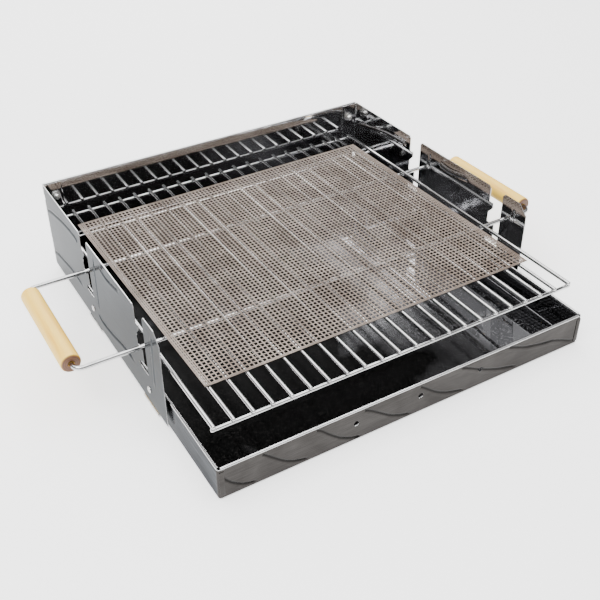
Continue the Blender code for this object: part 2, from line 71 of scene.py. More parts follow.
camera_data = bpy.data.cameras.new("camera")
camera_data.lens = LENS
camera_data.shift_x = SHIFT_X
camera_data.shift_y = SHIFT_Y
camera = add_object("camera", camera_data)
azimuth, elevation = math.radians(AZIMUTH), math.radians(ELEVATION)
backwards = Vector((
    math.sin(azimuth) * math.cos(elevation),
    -math.cos(azimuth) * math.cos(elevation),
    math.sin(elevation),
))
turn = backwards.to_track_quat("Z", "Y").to_matrix().to_4x4()
camera.matrix_world = Matrix.Translation(CAMERA_PLACE) @ turn @ Matrix.Rotation(math.radians(ROLL), 4, "Z")
bpy.context.scene.camera = camera
print("camera looks along", [round(-c, 3) for c in backwards])

# %% [markdown]
# ## Light for polished metal
# Bright metal shows what is around it more than its own colour. The floor glows a little, as a
# lit table does. The sky is pale at the horizon and overhead with a dark band between, so that
# pressed lines and wires have something light and something dark to mirror. Large soft boxes do
# the rest.

# %% Floor, sky and soft boxes
def new_material(name):
    material = bpy.data.materials.new(name)
    material.use_nodes = True
    tree = material.node_tree
    return material, tree, tree.nodes["Principled BSDF"]


def mesh_from(bm, name):
    mesh = bpy.data.meshes.new(name)
    bm.to_mesh(mesh)
    bm.free()
    return mesh


def make_floor():
    bm = bmesh.new()
    bmesh.ops.create_grid(bm, x_segments=1, y_segments=1, size=12)
    floor = add_object("studio_floor", mesh_from(bm, "studio_floor"))
    material, _, shader = new_material("studio_floor")
    shader.inputs["Base Color"].default_value = (0.92, 0.92, 0.92, 1)
    shader.inputs["Roughness"].default_value = 0.9
    shader.inputs["Emission Color"].default_value = (1, 1, 1, 1)
    shader.inputs["Emission Strength"].default_value = 1.1
    floor.data.materials.append(material)


def make_sky():
    world = bpy.data.worlds.new("studio_sky")
    bpy.context.scene.world = world
    world.use_nodes = True
    tree = world.node_tree
    background = tree.nodes["Background"]
    place = tree.nodes.new("ShaderNodeTexCoord")
    split = tree.nodes.new("ShaderNodeSeparateXYZ")
    ramp = tree.nodes.new("ShaderNodeValToRGB")
    tree.links.new(place.outputs["Generated"], split.inputs[0])
    tree.links.new(split.outputs["Z"], ramp.inputs["Fac"])
    tree.links.new(ramp.outputs["Color"], background.inputs["Color"])
    low, high = ramp.color_ramp.elements
    low.position, low.color = 0.10, (0.95, 0.95, 0.95, 1)
    high.position, high.color = 0.90, (1.0, 1.0, 1.0, 1)
    for position in (0.20, 0.38):
        ramp.color_ramp.elements.new(position).color = (0.02, 0.02, 0.022, 1)
    background.inputs["Strength"].default_value = 1.5


def soft_box(name, place, aim, width, height, power):
    light = bpy.data.lights.new(name, "AREA")
    light.shape = "RECTANGLE"
    light.size, light.size_y = width, height
    light.energy = power
    box = add_object(name, light)
    box.location = place
    box.rotation_mode = "QUATERNION"
    box.rotation_quaternion = (Vector(place) - Vector(aim)).to_track_quat("Z", "Y")


make_floor()
make_sky()
soft_box("top_box", (0.0, 0.2, 3.2), (0, 0, 0), 4.0, 4.0, 190)
soft_box("key_box", (-1.2, -0.5, 1.6), (0, 0, 0.05), 0.9, 0.9, 26)
soft_box("rear_box", (0.4, 1.7, 1.2), (0, 0, 0.05), 1.8, 0.6, 24)

# %% [markdown]
# ## Effects that several finishes share
# Three node groups are built once. Streaks stretch a noise along one direction, which is what a
# brushing belt leaves. Smudges are slow, cloudy changes, as from heat and fingers. Specks are
# small dark marks. Each material sets its own scale.

# %% Node groups
def new_group(name, inputs, outputs):
    group = bpy.data.node_groups.new(name, "ShaderNodeTree")
    for label, kind, value in inputs:
        item = group.interface.new_socket(name=label, in_out="INPUT", socket_type=kind)
        item.default_value = value
    for label, kind in outputs:
        group.interface.new_socket(name=label, in_out="OUTPUT", socket_type=kind)
    start = group.nodes.new("NodeGroupInput")
    end = group.nodes.new("NodeGroupOutput")
    return group, start, end


def spread(tree, value, from_low, from_high, to_low=0.0, to_high=1.0):
    """Stretches one range of values onto another, and clamps what lies outside."""
    node = tree.nodes.new("ShaderNodeMapRange")
    limits = {"From Min": from_low, "From Max": from_high, "To Min": to_low, "To Max": to_high}
    for label, limit in limits.items():
        node.inputs[label].default_value = limit
    tree.links.new(value, node.inputs["Value"])
    return node.outputs[0]


def make_streak_group():
    group, start, end = new_group(
        "brushed_streaks",
        [("Vector", "NodeSocketVector", (0, 0, 0)), ("Stretch", "NodeSocketVector", (1, 1, 1))],
        [("Mask", "NodeSocketFloat")],
    )
    scale = group.nodes.new("ShaderNodeVectorMath")
    scale.operation = "MULTIPLY"
    noise = group.nodes.new("ShaderNodeTexNoise")
    noise.inputs["Scale"].default_value = 1.0
    noise.inputs["Detail"].default_value = 3.0
    noise.inputs["Roughness"].default_value = 0.6
    group.links.new(start.outputs["Vector"], scale.inputs[0])
    group.links.new(start.outputs["Stretch"], scale.inputs[1])
    group.links.new(scale.outputs[0], noise.inputs["Vector"])
    group.links.new(noise.outputs[0], end.inputs["Mask"])
    return group


def make_patch_group(name, scale, detail, distortion, low, high):
    """A noise whose values from low to high are spread from 0 to 1."""
    group, start, end = new_group(
        name,
        [("Vector", "NodeSocketVector", (0, 0, 0)), ("Scale", "NodeSocketFloat", scale)],
        [("Mask", "NodeSocketFloat")],
    )
    noise = group.nodes.new("ShaderNodeTexNoise")
    noise.inputs["Detail"].default_value = detail
    noise.inputs["Distortion"].default_value = distortion
    group.links.new(start.outputs["Vector"], noise.inputs["Vector"])
    group.links.new(start.outputs["Scale"], noise.inputs["Scale"])
    group.links.new(spread(group, noise.outputs[0], low, high), end.inputs["Mask"])
    return group


STREAKS = make_streak_group()
SMUDGES = make_patch_group("cloudy_smudges", 10.0, 4.0, 0.8, 0.35, 0.68)
SPECKS = make_patch_group("small_specks", 400.0, 2.0, 0.0, 0.60, 0.72)


def use_group(tree, group, **values):
    node = tree.nodes.new("ShaderNodeGroup")
    node.node_tree = group
    for label, value in values.items():
        node.inputs[label].default_value = value
    return node


def object_place(tree):
    return tree.nodes.new("ShaderNodeTexCoord").outputs["Object"]


def one_axis(tree, vector, axis):
    split = tree.nodes.new("ShaderNodeSeparateXYZ")
    tree.links.new(vector, split.inputs[0])
    return split.outputs[axis]


def facing(tree, axis):
    """How much the surface faces along an axis of its object."""
    return one_axis(tree, tree.nodes.new("ShaderNodeTexCoord").outputs["Normal"], axis)


def mix_colours(tree, mask, first, second):
    """A colour between two, or between a colour and another node's colour, by a mask."""
    mix = tree.nodes.new("ShaderNodeMix")
    mix.data_type = "RGBA"
    tree.links.new(mask, mix.inputs["Factor"])
    for socket, value in ((mix.inputs[6], first), (mix.inputs[7], second)):
        if isinstance(value, bpy.types.NodeSocket):
            tree.links.new(value, socket)
        else:
            socket.default_value = (*value, 1)
    return mix.outputs[2]


def bump(tree, shader, mask, distance):
    node = tree.nodes.new("ShaderNodeBump")
    node.inputs["Distance"].default_value = distance
    tree.links.new(mask, node.inputs["Height"])
    tree.links.new(node.outputs["Normal"], shader.inputs["Normal"])


print("node groups:", [g.name for g in (STREAKS, SMUDGES, SPECKS)])

# %% [markdown]
# ## Steel in several states
# All the sheet and wire is steel, but it isn't one finish: polished walls, a brushed front, a
# floor darkened by fire, bright plated wire. One function makes them from two colours, two
# roughness values, and the direction in which the streaks run. A sheet stores how deep it is
# pressed as an attribute, and the finish darkens by it: a painted shade in the pressed lines.

# %% Steel finishes
def steel(name, clean, dull, smooth, rough, stretch, cloud_scale, brushed=0.3, edge=1.0):
    material, tree, shader = new_material(name)
    place = object_place(tree)
    streaks = use_group(tree, STREAKS, Stretch=stretch)
    clouds = use_group(tree, SMUDGES, Scale=cloud_scale)
    tree.links.new(place, streaks.inputs["Vector"])
    tree.links.new(place, clouds.inputs["Vector"])
    cloudy = mix_colours(tree, clouds.outputs[0], clean, dull)
    lines = spread(tree, streaks.outputs[0], 0, 1, -0.35 * brushed, 1.35 * brushed)
    body = mix_colours(tree, lines, cloudy, [0.35 * c for c in dull])
    # Painted shade: the colour darkens towards a dark copy of the dull colour as deep as the sheet is
    # pressed, so the pressed lines read dark.
    pressed = tree.nodes.new("ShaderNodeAttribute")
    pressed.attribute_name = "pressed"
    painted_groove_shade = [0.3 * c for c in dull]
    tree.links.new(mix_colours(tree, pressed.outputs["Fac"], body, painted_groove_shade), shader.inputs["Base Color"])
    tree.links.new(spread(tree, streaks.outputs[0], 0, 1, smooth, rough), shader.inputs["Roughness"])
    shader.inputs["Metallic"].default_value = 1.0
    shader.inputs["Specular Tint"].default_value = (edge, edge, edge, 1)
    bump(tree, shader, streaks.outputs[0], 0.00002)
    return material


def sooted_steel():
    """The tray's inside: a mirror, blackened where the fire lies and cleaner to the right."""
    material, tree, shader = new_material("sooted_steel")
    place = object_place(tree)
    clouds = use_group(tree, SMUDGES, Scale=9.0)
    flecks = use_group(tree, SPECKS, Scale=520.0)
    for node in (clouds, flecks):
        tree.links.new(place, node.inputs["Vector"])
    across = spread(tree, one_axis(tree, place, "X"), 0.0, 0.15, -0.75, 0.75)
    clean = tree.nodes.new("ShaderNodeMath")
    clean.use_clamp = True
    tree.links.new(across, clean.inputs[0])
    tree.links.new(clouds.outputs[0], clean.inputs[1])
    burnt = mix_colours(tree, flecks.outputs[0], (0.003, 0.003, 0.003), (0.018, 0.017, 0.016))
    floor = mix_colours(tree, clean.outputs[0], burnt, (0.24, 0.24, 0.25))
    tree.links.new(floor, shader.inputs["Base Color"])
    tree.links.new(spread(tree, clean.outputs[0], 0, 1, 0.16, 0.02), shader.inputs["Roughness"])
    shader.inputs["Metallic"].default_value = 1.0
    bump(tree, shader, flecks.outputs[0], 0.00005)
    return material


POLISHED = steel(
    "polished_wall", (0.100, 0.108, 0.117), (0.078, 0.085, 0.092), 0.08, 0.20, (700, 40, 700), 11.0, 0.3, 0.5
)
INNER_STEEL = steel(
    "polished_inside", (0.78, 0.78, 0.79), (0.62, 0.62, 0.63), 0.03, 0.10, (30, 30, 900), 9.0
)
TRAY_FRONT = steel(
    "brushed_front", (0.070, 0.066, 0.063), (0.044, 0.041, 0.039), 0.12, 0.28, (40, 900, 1100), 18.0, 0.6, 0.7
)
TRAY_SIDE = steel(
    "polished_tray", (0.170, 0.178, 0.190), (0.085, 0.090, 0.098), 0.08, 0.26, (500, 24, 420), 15.0, 1.0, 0.5
)
# Bright steel for the rolled hems; it also goes on the cut edges of the sheets as a painted highlight.
HEM_AND_EDGE_HIGHLIGHT = steel(
    "hem_and_painted_edge_highlight", (0.72, 0.72, 0.72), (0.55, 0.55, 0.55), 0.08, 0.20, (260, 260, 260), 30.0
)
PLATED_WIRE = steel(
    "plated_wire", (0.60, 0.60, 0.60), (0.42, 0.42, 0.42), 0.07, 0.20, (420, 420, 420), 35.0
)
FASTENER = steel(
    "satin_fastener", (0.72, 0.72, 0.71), (0.50, 0.49, 0.47), 0.16, 0.36, (1400, 1400, 1400), 160.0
)
SOOTED = sooted_steel()
print("steel finishes made")

# %% [markdown]
# ## Beech for the grips
# Turned beech has long grain along the grip and rings on its ends. Object coordinates give both:
# the rings come from the distance to the grip's axis, and the grain is a noise stretched along Y.
# The part of the surface that faces along Y is end grain, which soaks up lacquer and looks darker.

# %% Beech
def beech(name, centre):
    material, tree, shader = new_material(name)
    shift = tree.nodes.new("ShaderNodeMapping")
    shift.inputs["Location"].default_value = [-c for c in centre]
    tree.links.new(object_place(tree), shift.inputs["Vector"])
    grain = use_group(tree, STREAKS, Stretch=(620, 26, 620))
    figure = use_group(tree, STREAKS, Stretch=(130, 9, 130))
    pores = use_group(tree, STREAKS, Stretch=(2600, 170, 2600))
    for node in (grain, figure, pores):
        tree.links.new(shift.outputs[0], node.inputs["Vector"])
    long_grain = mix_colours(tree, grain.outputs[0], (0.88, 0.50, 0.06), (0.97, 0.68, 0.12))
    darker = spread(tree, figure.outputs[0], 0.45, 0.72, 0.0, 0.7)
    side = mix_colours(tree, darker, long_grain, (0.74, 0.34, 0.03))
    rings = tree.nodes.new("ShaderNodeTexWave")
    rings.wave_type = "RINGS"
    rings.rings_direction = "Y"
    rings.inputs["Scale"].default_value = 160.0
    rings.inputs["Distortion"].default_value = 2.5
    rings.inputs["Detail"].default_value = 2.0
    tree.links.new(shift.outputs[0], rings.inputs["Vector"])
    end = mix_colours(tree, rings.outputs["Fac"], (0.06, 0.018, 0.004), (0.16, 0.058, 0.012))
    along = tree.nodes.new("ShaderNodeMath")
    along.operation = "ABSOLUTE"
    tree.links.new(facing(tree, "Y"), along.inputs[0])
    is_end = spread(tree, along.outputs[0], 0.45, 0.9)
    tree.links.new(mix_colours(tree, is_end, side, end), shader.inputs["Base Color"])
    tree.links.new(spread(tree, pores.outputs[0], 0, 1, 0.34, 0.58), shader.inputs["Roughness"])
    shader.inputs["Coat Weight"].default_value = 0.1
    shader.inputs["Coat Roughness"].default_value = 0.35
    bump(tree, shader, pores.outputs[0], 0.00012)
    return material


# %% [markdown]
# ## Coated glass cloth for the mat
# Grill mats are glass cloth under a brown non-stick coat. The strands are real geometry, so the
# material only adds the coat, with painted light on it: a painted shade makes the sides of a
# strand dark brown, and a painted sheen makes its top pale.

# %% Coated strands
def coated_strands():
    material, tree, shader = new_material("coated_strands")
    place = object_place(tree)
    sheen_patches = use_group(tree, SMUDGES, Scale=22.0)
    flecks = use_group(tree, SPECKS, Scale=900.0)
    fibre = use_group(tree, STREAKS, Stretch=(2500, 2500, 2500))
    for node in (sheen_patches, flecks, fibre):
        tree.links.new(place, node.inputs["Vector"])
    # Painted light on the coat: faces that look up get a pale painted sheen, varied in patches, and the sides
    # get a dark painted shade.
    upper = spread(tree, facing(tree, "Z"), 0.6, 0.95)
    painted_top_sheen = mix_colours(tree, sheen_patches.outputs[0], (0.14, 0.102, 0.077), (0.29, 0.236, 0.196))
    coat = mix_colours(tree, upper, (0.018, 0.011, 0.007), painted_top_sheen)
    flecked = mix_colours(tree, flecks.outputs[0], coat, (0.12, 0.08, 0.055))
    tree.links.new(flecked, shader.inputs["Base Color"])
    tree.links.new(spread(tree, fibre.outputs[0], 0, 1, 0.28, 0.55), shader.inputs["Roughness"])
    bump(tree, shader, fibre.outputs[0], 0.00006)
    return material


STRANDS = coated_strands()
print("finish made:", STRANDS.name)

# %% [markdown]
# ## Helpers for every piece
# A piece is finished when its mesh is in place with its object at the origin, it rides on the
# body that carries it, and the plain parts it stands for are hidden. Most of the sheet and wire
# here starts as a grid, which an operator makes and a function then lays where it belongs.

# %% Helpers
def as_piece(bm, name, materials, body, *nodes, slot, smooth=35):
    mesh = mesh_from(bm, name)
    for material in materials:
        mesh.materials.append(material)
    mesh.shade_smooth()
    mesh.set_sharp_from_angle(angle=math.radians(smooth))
    piece = add_object(name, mesh)
    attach(piece, body)
    if nodes:
        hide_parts(*nodes)
    return piece


def settle(piece):
    """Applies a piece's modifiers to its mesh."""
    graph = bpy.context.evaluated_depsgraph_get()
    mesh = bpy.data.meshes.new_from_object(piece.evaluated_get(graph), depsgraph=graph)
    piece.modifiers.clear()
    piece.data = mesh
    return piece


def round_edges(piece, width):
    soft = piece.modifiers.new("edges", "BEVEL")
    soft.width = width
    soft.segments = 2
    soft.limit_method = "ANGLE"
    soft.angle_limit = math.radians(50)


def thicken(piece, thickness, edge_round, backs, rims):
    """Gives a sheet its thickness, away from its outer face, and softens its edges."""
    solid = piece.modifiers.new("thickness", "SOLIDIFY")
    solid.thickness = thickness
    solid.offset = -1
    solid.material_offset = backs
    # The cut edges take the rims material, the bright hem steel, as a painted highlight.
    solid.material_offset_rim = rims
    round_edges(piece, edge_round)
    settle(piece)
    piece.data.shade_smooth()
    piece.data.set_sharp_from_angle(angle=math.radians(40))
    return piece


def mapped(bm, columns, rows, place):
    """A grid whose vertices are laid at place(column, row)."""
    made = bmesh.ops.create_grid(bm, x_segments=columns, y_segments=rows, size=1)["verts"]
    for vert in made:
        column = round((vert.co.x + 1) / 2 * columns)
        row = round((vert.co.y + 1) / 2 * rows)
        vert.co = place(column, row)


def wire(bm, path, radius, sides, dome=0.6):
    """A round wire along a level path, with rounded ends."""
    path = [Vector(p) for p in path]
    first, last = (path[1] - path[0]).normalized(), (path[-1] - path[-2]).normalized()
    caps = [math.radians(degrees) for degrees in (88, 60, 30)]
    rings = [(path[0] - first * radius * dome * math.sin(a), first, radius * math.cos(a)) for a in caps]
    for index, point in enumerate(path):
        before = path[max(index - 1, 0)]
        after = path[min(index + 1, len(path) - 1)]
        rings.append((point, (after - before).normalized(), radius))
    for cap in reversed(caps):
        rings.append((path[-1] + last * radius * dome * math.sin(cap), last, radius * math.cos(cap)))

    def place(column, row):
        centre, way, size = rings[row]
        side = way.cross(Vector((0, 0, 1)))
        angle = 2 * math.pi * column / sides
        return centre + side * size * math.cos(angle) + Vector((0, 0, 1)) * size * math.sin(angle)

    mapped(bm, sides, len(rings) - 1, place)


def close_up(bm):
    """Welds the seams that mapped grids leave and turns every face outwards."""
    bmesh.ops.remove_doubles(bm, verts=bm.verts, dist=2e-6)
    bmesh.ops.holes_fill(bm, edges=bm.edges, sides=24)
    bmesh.ops.recalc_face_normals(bm, faces=bm.faces)


def turned(bm, profile, centre, axis, steps=32):
    """Turns a profile of (distance, height) points once about an axis."""
    axis = Vector(axis).normalized()
    side = axis.orthogonal().normalized()
    verts = [bm.verts.new(Vector(centre) + side * r + axis * h) for r, h in profile]
    edges = [bm.edges.new(pair) for pair in zip(verts, verts[1:])]
    bmesh.ops.spin(
        bm, geom=verts + edges, cent=centre, axis=axis, angle=2 * math.pi, steps=steps, use_merge=True
    )
    bmesh.ops.remove_doubles(bm, verts=bm.verts, dist=2e-6)
    bmesh.ops.recalc_face_normals(bm, faces=bm.faces)


def block(bm, size, centre):
    made = bmesh.ops.create_cube(bm, size=1)["verts"]
    bmesh.ops.scale(bm, vec=size, verts=made)
    bmesh.ops.translate(bm, vec=centre, verts=made)


def ease_edges(bm, width):
    bmesh.ops.bevel(
        bm, geom=list(bm.edges), offset=width, segments=2, profile=0.5, affect="EDGES", material=-1
    )


def middle(node):
    low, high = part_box(node)
    return (low + high) / 2


# %% [markdown]
# ## Embossed lines
# Thin sheet is stiffened by pressed lines. A grid is dense enough to carry them as real dents:
# every point near a line's path moves in by a smooth profile with a faint raised lip on both
# sides. The lines fade out at their ends, as the press tool does.

# %% Press lines into a sheet
def smooth_path(points, steps=10):
    """A curve through the points, with even steps between them (Catmull-Rom)."""
    points = [np.array(p, float) for p in points]
    ends = [2 * points[0] - points[1], *points, 2 * points[-1] - points[-2]]
    path = []
    for a, b, c, d in zip(ends, ends[1:], ends[2:], ends[3:]):
        for step in range(steps):
            t = step / steps
            cubic = 3 * b - a - 3 * c + d
            square = 2 * a - 5 * b + 4 * c - d
            path.append(0.5 * (2 * b + (c - a) * t + square * t**2 + cubic * t**3))
    path.append(points[-1])
    return np.array(path)


def path_distance(places, path):
    """The distance from each place to a path, and how far along the path it is (0 to 1)."""
    nearest = np.full(len(places), 1e9)
    along = np.zeros(len(places))
    for index, (a, b) in enumerate(zip(path, path[1:])):
        run = b - a
        t = np.clip(((places - a) @ run) / (run @ run), 0, 1)
        distance = np.linalg.norm(places - a - t[:, None] * run, axis=1)
        closer = distance < nearest
        nearest[closer] = distance[closer]
        along[closer] = (index + t[closer]) / (len(path) - 1)
    return nearest, along


def press_depth(places, lines, width, depth, fade=0.12):
    """How deep the sheet is pressed at each place."""
    total = np.zeros(len(places))
    for line in lines:
        distance, along = path_distance(places, smooth_path(line))
        ends = np.clip(np.minimum(along, 1 - along) / fade, 0, 1)
        reach = distance / (width / 2)
        shape = np.exp(-((1.5 * reach) ** 2)) - 0.22 * np.exp(-((2.2 * (reach - 1.7)) ** 2))
        shape *= ends * ends * (3 - 2 * ends)
        total = np.where(np.abs(shape) > np.abs(total), shape, total)
    return total * depth


# %% [markdown]
# ## Cutting a flat pattern
# Sheet metal is cut flat and folded afterwards, and so are these sheets. A Boolean on a dense
# sheet is slow, so only the faces round an outline are split, once along each of its edges with
# bisect_plane, and the faces inside it are deleted.

# %% Cut an outline in a flat pattern
def inside(x, y, outline):
    crossed = False
    for (x1, y1), (x2, y2) in zip(outline, outline[1:] + outline[:1]):
        if (y1 > y) != (y2 > y) and x < (x2 - x1) * (y - y1) / (y2 - y1) + x1:
            crossed = not crossed
    return crossed


def cut_outline(bm, outline, margin=0.0015):
    """Removes an outline from a pattern that lies in the XY plane."""
    xs, ys = [p[0] for p in outline], [p[1] for p in outline]
    low_x, high_x = min(xs) - margin, max(xs) + margin
    low_y, high_y = min(ys) - margin, max(ys) + margin

    def near():
        found = []
        for face in bm.faces:
            if any(low_x < v.co.x < high_x and low_y < v.co.y < high_y for v in face.verts):
                found.append(face)
        return found

    faces = set(near())
    for (x1, y1), (x2, y2) in zip(outline, outline[1:] + outline[:1]):
        geom = {f for f in faces if f.is_valid}
        geom |= {e for f in geom for e in f.edges} | {v for f in geom for v in f.verts}
        made = bmesh.ops.bisect_plane(
            bm, geom=list(geom), dist=1e-6, plane_co=(x1, y1, 0), plane_no=(y2 - y1, x1 - x2, 0)
        )
        faces |= {g for g in made["geom"] if isinstance(g, bmesh.types.BMFace)}
        faces = {f for f in faces if f.is_valid}
    gone = []
    for face in faces:
        centre = face.calc_center_median()
        if inside(centre.x, centre.y, outline):
            gone.append(face)
    bmesh.ops.delete(bm, geom=gone, context="FACES")


def ring(x, y, radius, steps=20):
    turns = [2 * math.pi * (step + 0.5) / steps for step in range(steps)]
    return [(x + radius * math.cos(a), y + radius * math.sin(a)) for a in turns]


# %% [markdown]
# ## The tray
# The tray is one sheet: a floor, four low walls and rounded bends. Its flat pattern runs round
# the plan and up the wall. The columns are close together on the front, which carries seven
# pressed waves and three air holes, and sparse elsewhere. Cutting and pressing are done flat.

# %% Tray shell
SHEET = 0.0008
BEND = 0.0022
CORNER = 0.003
HEM_RADIUS = 0.0016
FINE = 0.0008
BEND_STEPS = 6
_, tray_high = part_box("firebox_tray")
HALF_X, HALF_Y = tray_high.x, tray_high.y
RIM = tray_high.z - HEM_RADIUS
VENT_SPACING, VENT_SHIFT, VENT_HEIGHT = 0.077, 0.005, 0.022
VENTS = [(VENT_SHIFT + step * VENT_SPACING, VENT_HEIGHT) for step in (-1, 0, 1)]
VENT_RADIUS = 0.003
WAVE_WIDTH, WAVE_DEPTH, WAVE_FADE = 0.0038, 0.0010, 0.08
FRONT_WAVES = [
    [(2, 33), (7, 23.5), (15, 14.5), (26, 7.0), (40, 3.4)],
    [(45, 34.5), (50, 30.8), (59, 22.5), (70, 13.0), (82, 6.9), (96, 3.6)],
    [(103, 35), (109, 32), (119, 22.2), (132, 11.2), (145, 4.9), (155, 2.8)],
    [(157, 34.5), (163, 32), (171, 26.5), (181, 19.0), (190, 12.6), (202, 7.0), (217, 3.1)],
    [(224, 34.0), (229, 31), (242, 20.4), (251, 14.5), (261, 9.8), (272, 6.4), (284, 3.5)],
    [(275, 35), (284, 32), (300, 23.6), (319, 14.9), (331, 10.7), (343, 7.5), (354, 4.5)],
    [(336, 36), (347, 32.5), (362, 26.4), (376, 22.9), (391, 19.8), (403, 18), (418, 12.5), (437, 4.3)],
]


def plan_columns():
    """The distance along the plan of each column of the pattern."""
    flat_x, flat_y = 2 * (HALF_X - CORNER), 2 * (HALF_Y - CORNER)
    turn = CORNER * math.pi / 2
    count = int(flat_x / FINE)
    stops = [flat_x * i / count for i in range(count + 1)]
    base = flat_x
    for flat in (flat_y, flat_x, flat_y):
        stops += [base + turn * i / BEND_STEPS for i in range(1, BEND_STEPS + 1)]
        base += turn
        stops += [base + flat * i / 4 for i in range(1, 5)]
        base += flat
    return stops + [base + turn * i / BEND_STEPS for i in range(1, BEND_STEPS + 1)]


def fold_plan(distance, inset):
    """The place on the tray's plan at a distance along it, moved in by an inset."""
    x, y = HALF_X - CORNER, HALF_Y - CORNER
    turn = CORNER * math.pi / 2
    way = Vector((1, 0))
    out = Vector((0, -1))
    corner = Vector((-x, -y))
    for flat in (2 * x, 2 * y, 2 * x, 2 * y):
        if distance <= flat:
            return corner + way * distance + out * (CORNER - inset)
        distance -= flat
        corner = corner + way * flat
        if distance < turn:
            angle = distance / CORNER
            return corner + (out * math.cos(angle) + way * math.sin(angle)) * (CORNER - inset)
        distance -= turn
        way, out = Vector((-way.y, way.x)), Vector((-out.y, out.x))
    return Vector((-x, -y)) + Vector((0, -1)) * (CORNER - inset)


def make_tray_shell():
    bm = bmesh.new()
    pressed = bm.verts.layers.float.new("pressed")
    stops = plan_columns()
    bend = BEND * math.pi / 2
    rise = RIM - BEND
    steps = int(rise / FINE)
    rows = [bend * (i - BEND_STEPS) / BEND_STEPS for i in range(BEND_STEPS)]
    rows += [rise * i / steps for i in range(steps + 1)]
    mapped(bm, len(stops) - 1, len(rows) - 1, lambda c, r: (stops[c], rows[r], 0))
    for x, z in VENTS:
        cut_outline(bm, ring(x + HALF_X - CORNER, z - BEND, VENT_RADIUS))
    verts = list(bm.verts)
    places = np.array([(v.co.x - HALF_X + CORNER, v.co.y + BEND) for v in verts])
    waves = [[(0.001 * x - HALF_X, 0.001 * z) for x, z in wave] for wave in FRONT_WAVES]
    depth = press_depth(places, waves, WAVE_WIDTH, WAVE_DEPTH, WAVE_FADE)
    depth[places[:, 0] > HALF_X - CORNER] = 0
    for vert, dent in zip(verts, depth):
        # pressed holds the press depth, which sets the painted shade in the waves.
        vert[pressed] = min(max(0, 1.5 * dent / WAVE_DEPTH), 1)
        along, up = vert.co.x, vert.co.y
        angle = min(up, 0) / BEND
        inset = BEND * (1 - math.cos(angle)) + (dent if up > 0 else 0)
        plan = fold_plan(along, inset)
        vert.co = (plan.x, plan.y, BEND + (up if up > 0 else BEND * math.sin(angle)))
    bmesh.ops.remove_doubles(bm, verts=bm.verts, dist=1e-5)
    foot = [e for e in bm.edges if e.is_boundary and all(v.co.z < 1e-5 for v in e.verts)]
    bmesh.ops.edgeloop_fill(bm, edges=foot)
    for face in bm.faces:
        centre = face.calc_center_median()
        face.material_index = 0 if centre.y < -HALF_Y + 0.004 and centre.z > 0.0005 else 1
        if centre.z < 0.0001:
            face.normal_update()
            if face.normal.z > 0:
                face.normal_flip()
    shell = as_piece(
        bm, "tray_shell", [TRAY_FRONT, TRAY_SIDE, SOOTED, SOOTED, HEM_AND_EDGE_HIGHLIGHT, HEM_AND_EDGE_HIGHLIGHT],
        "tray", "firebox_tray", slot="tray_steel",
    )
    return thicken(shell, SHEET, 0.00012, backs=2, rims=4)


tray_shell = make_tray_shell()
print("tray shell faces:", len(tray_shell.data.polygons))

# %% [markdown]
# ## Rolled hems and corner tabs
# The top edge of each low wall is rolled into a thin bright tube, so that it is stiff and safe to
# touch. Each wall is rolled by itself, which leaves a small gap at the corners. The side walls end
# in a narrow tab that is folded round onto the front.

# %% Hems and tabs
HEM_GAP = 0.0022
TAB_SIZE = (0.0052, 0.0006, 0.0300)
TAB_INSET, TAB_STAND, TAB_HEIGHT = 0.0038, 0.0002, 0.0192


def rolled_edge(bm, start, end):
    start, end = Vector(start), Vector(end)
    wire(bm, [start, (start + end) / 2, end], HEM_RADIUS, 20, dome=0.25)


def make_hems():
    bm = bmesh.new()
    x, y = HALF_X - HEM_RADIUS, HALF_Y - HEM_RADIUS
    for sign in (-1, 1):
        rolled_edge(bm, (HEM_GAP - x, sign * y, RIM), (x - HEM_GAP, sign * y, RIM))
        rolled_edge(bm, (sign * x, HEM_GAP - y, RIM), (sign * x, y - HEM_GAP, RIM))
    close_up(bm)
    return as_piece(bm, "tray_hems", [HEM_AND_EDGE_HIGHLIGHT], "tray", slot="tray_steel")


def make_tabs():
    bm = bmesh.new()
    for sign in (-1, 1):
        block(bm, TAB_SIZE, (sign * (HALF_X - TAB_INSET), -HALF_Y - TAB_STAND, TAB_HEIGHT))
    ease_edges(bm, 0.0002)
    return as_piece(bm, "tray_corner_tabs", [TRAY_FRONT], "tray", slot="tray_steel")


for piece in (make_hems(), make_tabs()):
    print(piece.name, "faces:", len(piece.data.polygons))

# %% [markdown]
# ## The tall side walls
# Each side wall is cut flat with its chamfered corner, two notched slots and the step where the
# rear flange starts, then pressed, and last folded along the flange. The right wall is the mirror
# image, so its points get the opposite x and its faces are turned over.

# %% Side walls
wall_low, wall_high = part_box("right_wall")
WALL_OUT, WALL_FRONT, WALL_REAR = wall_high.x, wall_low.y, wall_high.y
WALL_FOOT, WALL_TOP = wall_low.z, wall_high.z
FLANGE_IN, FLANGE_FOOT, FLANGE_TOP = 0.202, 0.0428, 0.1168
FOLD = 0.0018
CHAMFER = 0.012
ARM_SPACING = 0.155
ARMS = [middle("left_grip").y + side * ARM_SPACING / 2 for side in (-1, 1)]
SLOT_FRONT, SHELF_FRONT, TOOTH_FRONT, SLOT_REAR = -0.0105, -0.0015, 0.0035, 0.0105
SLOT_FLOOR, LEVEL_STEP = 0.0439, 0.027
TOOTH_DEPTH, TOOTH_ROOT, SHELF_DEPTH, HOOK_HEIGHT = 0.006, 0.013, 0.010, 0.006
MOUTH_RUN, MOUTH_DROP, OVER_TOP = 0.005, 0.003, 0.002
GRAIN = 0.00115
LINE_WIDTH, LINE_DEPTH = 0.0040, 0.0009
RIB_WIDTH, RIB_HEIGHT = 0.0036, 0.0006
SIDE_LINES = [
    [(339, 85), (320, 91), (274, 100), (234, 103), (226, 98)],
    [(340, 22), (330, 28), (295, 34), (266, 38), (227, 37)],
    [(156, 106), (134, 104), (98, 110)],
    [(187, 27), (174, 23), (145, 26), (111, 33), (73, 36)],
]
SIDE_RIBS = [
    [(19, 108), (22, 80), (25, 38)],
    [(174, 112), (177, 80), (181, 33)],
]


